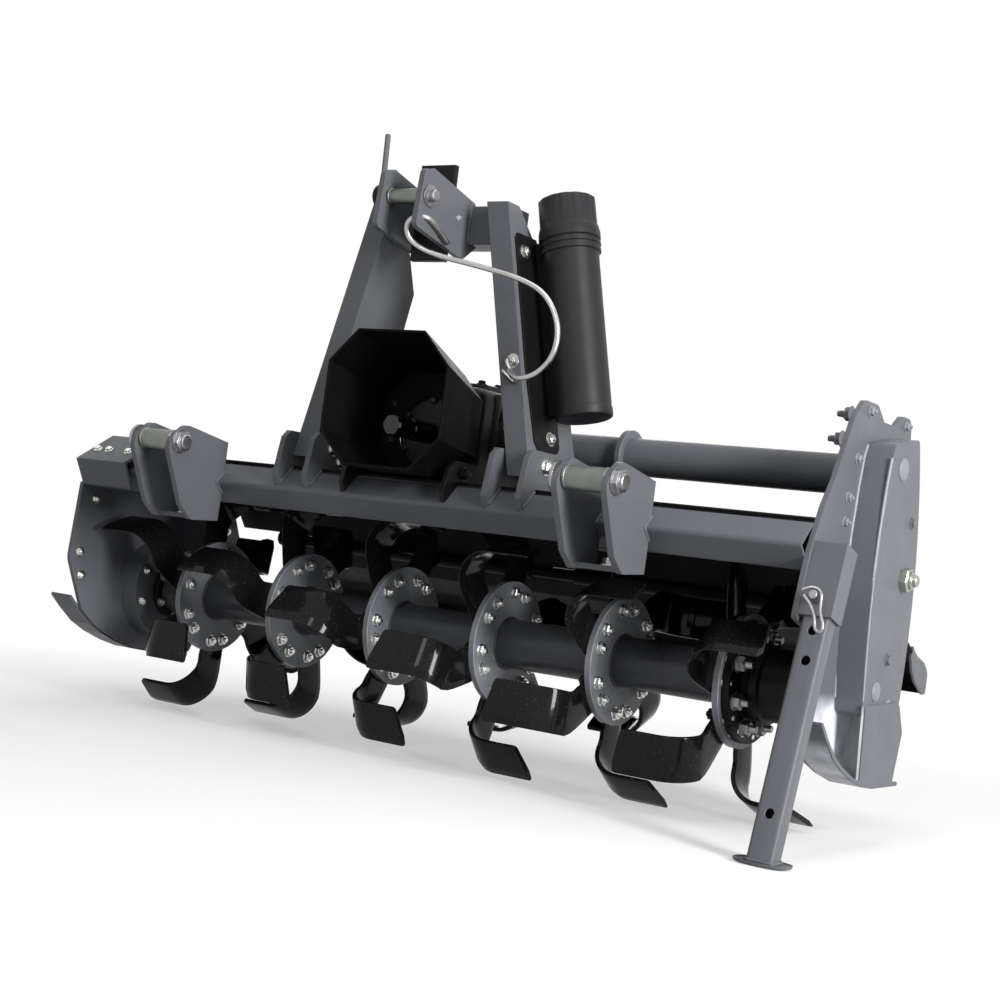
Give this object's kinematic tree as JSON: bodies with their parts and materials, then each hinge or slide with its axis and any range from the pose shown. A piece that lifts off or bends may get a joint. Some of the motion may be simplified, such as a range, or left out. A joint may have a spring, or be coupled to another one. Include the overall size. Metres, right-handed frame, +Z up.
{
  "type": "rotary tiller",
  "caption": "Three-point rotary tiller: chain-driven tined rotor under a hood, A-shaped mast with hitch clevises, gear drive with shaft shield, tailboard, skids and a parking stand.",
  "frame": {"origin": "on the floor, under the middle of the overall box", "axes": "+X along the rotor towards the chain case, -Y forward to the tractor, +Z up; left and right are as seen from the front"},
  "size_m": [1.51, 0.716, 0.987],
  "materials": {
    "frame_paint": "semi-gloss charcoal grey paint",
    "black_paint": "semi-gloss black paint",
    "tine_steel": "gloss black paint over forged steel",
    "zinc": "zinc plated",
    "bare_steel": "machined steel",
    "canister_plastic": "matt black plastic"
  },
  "bodies": {
    "frame": {"canister_bracket": "black_paint", "chain_case": "frame_paint", "chain_tensioner": "zinc", "document_canister": "canister_plastic", "drive_tube": "black_paint", "end_gusset_left": "frame_paint", "front_beam": "frame_paint", "gearbox": "black_paint", "gearbox_mounts": "black_paint", "hinge_rod": "black_paint", "hitch_bushes": "zinc", "hitch_pins": "zinc", "hood": "black_paint", "hood_hinges": "black_paint", "lower_clevises": "frame_paint", "mast_crossbar": "frame_paint", "mast_feet": "frame_paint", "mast_post_left": "frame_paint", "mast_post_right": "frame_paint", "pto_shield": "black_paint", "shaft_hanger": "zinc", "side_plate_left": "frame_paint", "side_plate_right": "frame_paint", "skid_left": "frame_paint", "skid_right": "frame_paint", "stand_sleeve": "frame_paint", "top_clevis": "frame_paint", "top_stop_plate": "black_paint"},
    "rotor": {"rotor_flanges": "black_paint", "rotor_hubs": "black_paint", "rotor_tubes": "black_paint", "tines_left_hand": "tine_steel", "tines_right_hand": "tine_steel"},
    "input_shaft": {"pto_shaft": "bare_steel"},
    "tailboard": {"tailboard": "black_paint", "tailboard_hinges": "black_paint"},
    "stand": {"stand_leg": "frame_paint", "stand_foot": "frame_paint"}
  },
  "joints": [
    {"name": "rotor_spin", "type": "hinge", "parent": "frame", "child": "rotor", "pos_m": [-0.014, -0.0245, 0.213], "axis": [1, 0, 0], "continuous": true},
    {"name": "input_spin", "type": "hinge", "parent": "frame", "child": "input_shaft", "pos_m": [-0.014, -0.2145, 0.534], "axis": [0, 1, 0], "continuous": true},
    {"name": "tailboard_lift", "type": "hinge", "parent": "frame", "child": "tailboard", "pos_m": [-0.014, 0.2115, 0.335], "axis": [1, 0, 0], "range_deg": [-50, 45]},
    {"name": "stand_slide", "type": "slide", "parent": "frame", "child": "stand", "axis": [0, 0.2756, 0.9613], "range_m": [0, 0.291]}
  ],
  "couplings": [
    {"joint": "input_spin", "follows": "rotor_spin", "ratio": 2.7}
  ]
}
